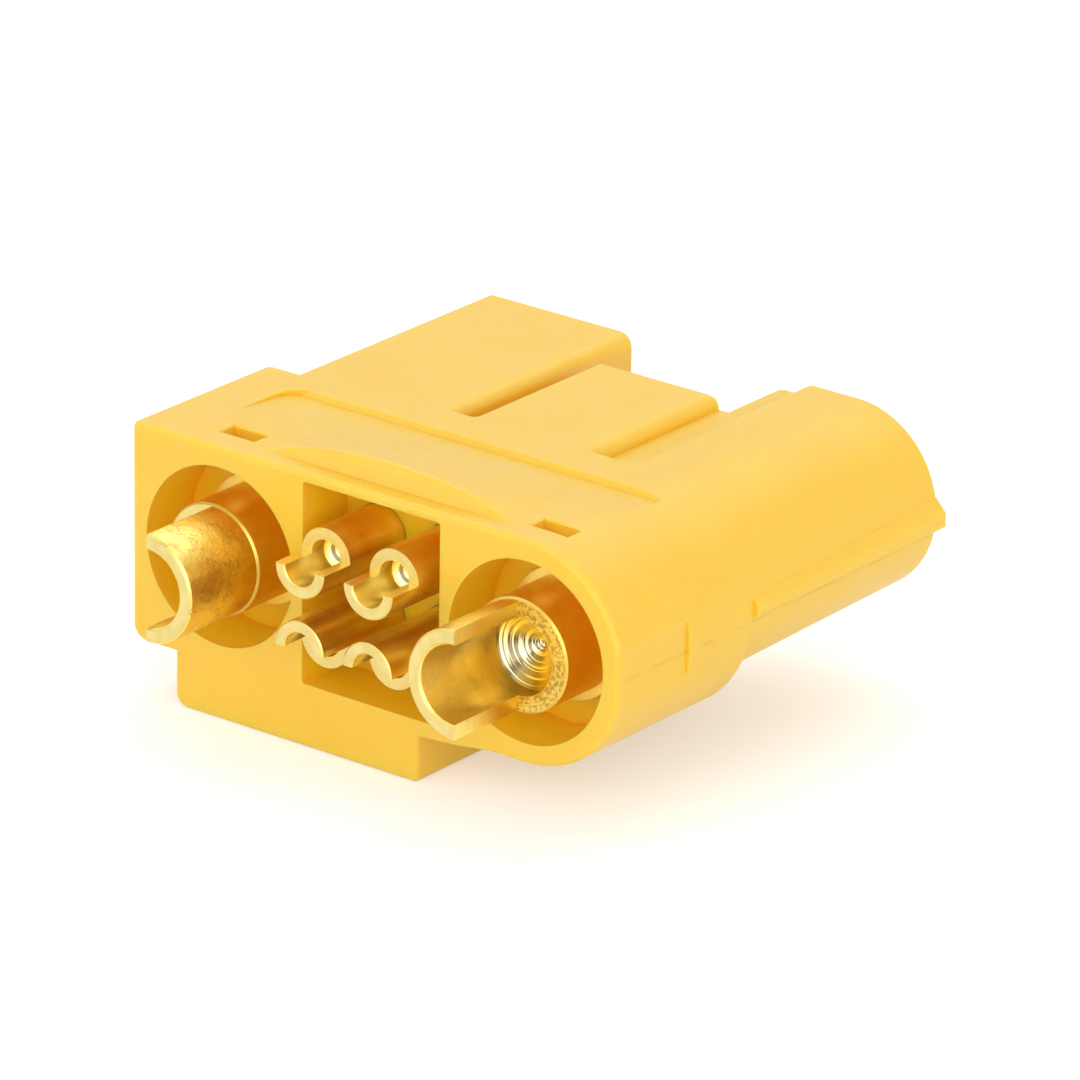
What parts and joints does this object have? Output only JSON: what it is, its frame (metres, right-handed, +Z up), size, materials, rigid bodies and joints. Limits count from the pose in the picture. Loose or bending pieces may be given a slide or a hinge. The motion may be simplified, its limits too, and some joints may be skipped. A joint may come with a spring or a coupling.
{
  "type": "battery lead connector",
  "caption": "Moulded battery lead connector, female half, with soldered power and signal sockets in a keyed housing.",
  "frame": {"origin": "middle of the part's box in plan, on the underside of the keying block it stands on", "axes": "+Y along the contacts towards the mating end, +Z up through the crowned top face, +X to the right as seen from the solder side"},
  "size_m": [0.0292, 0.0296, 0.0146],
  "materials": {
    "nylon": "satin moulded",
    "gold_plate": "polished plated"
  },
  "bodies": {
    "root": {"housing": "nylon", "power_contact_left": "gold_plate", "power_contact_right": "gold_plate", "signal_contact_upper_left": "gold_plate", "signal_contact_upper_right": "gold_plate", "signal_contact_lower_left": "gold_plate", "signal_contact_lower_right": "gold_plate"}
  },
  "joints": []
}
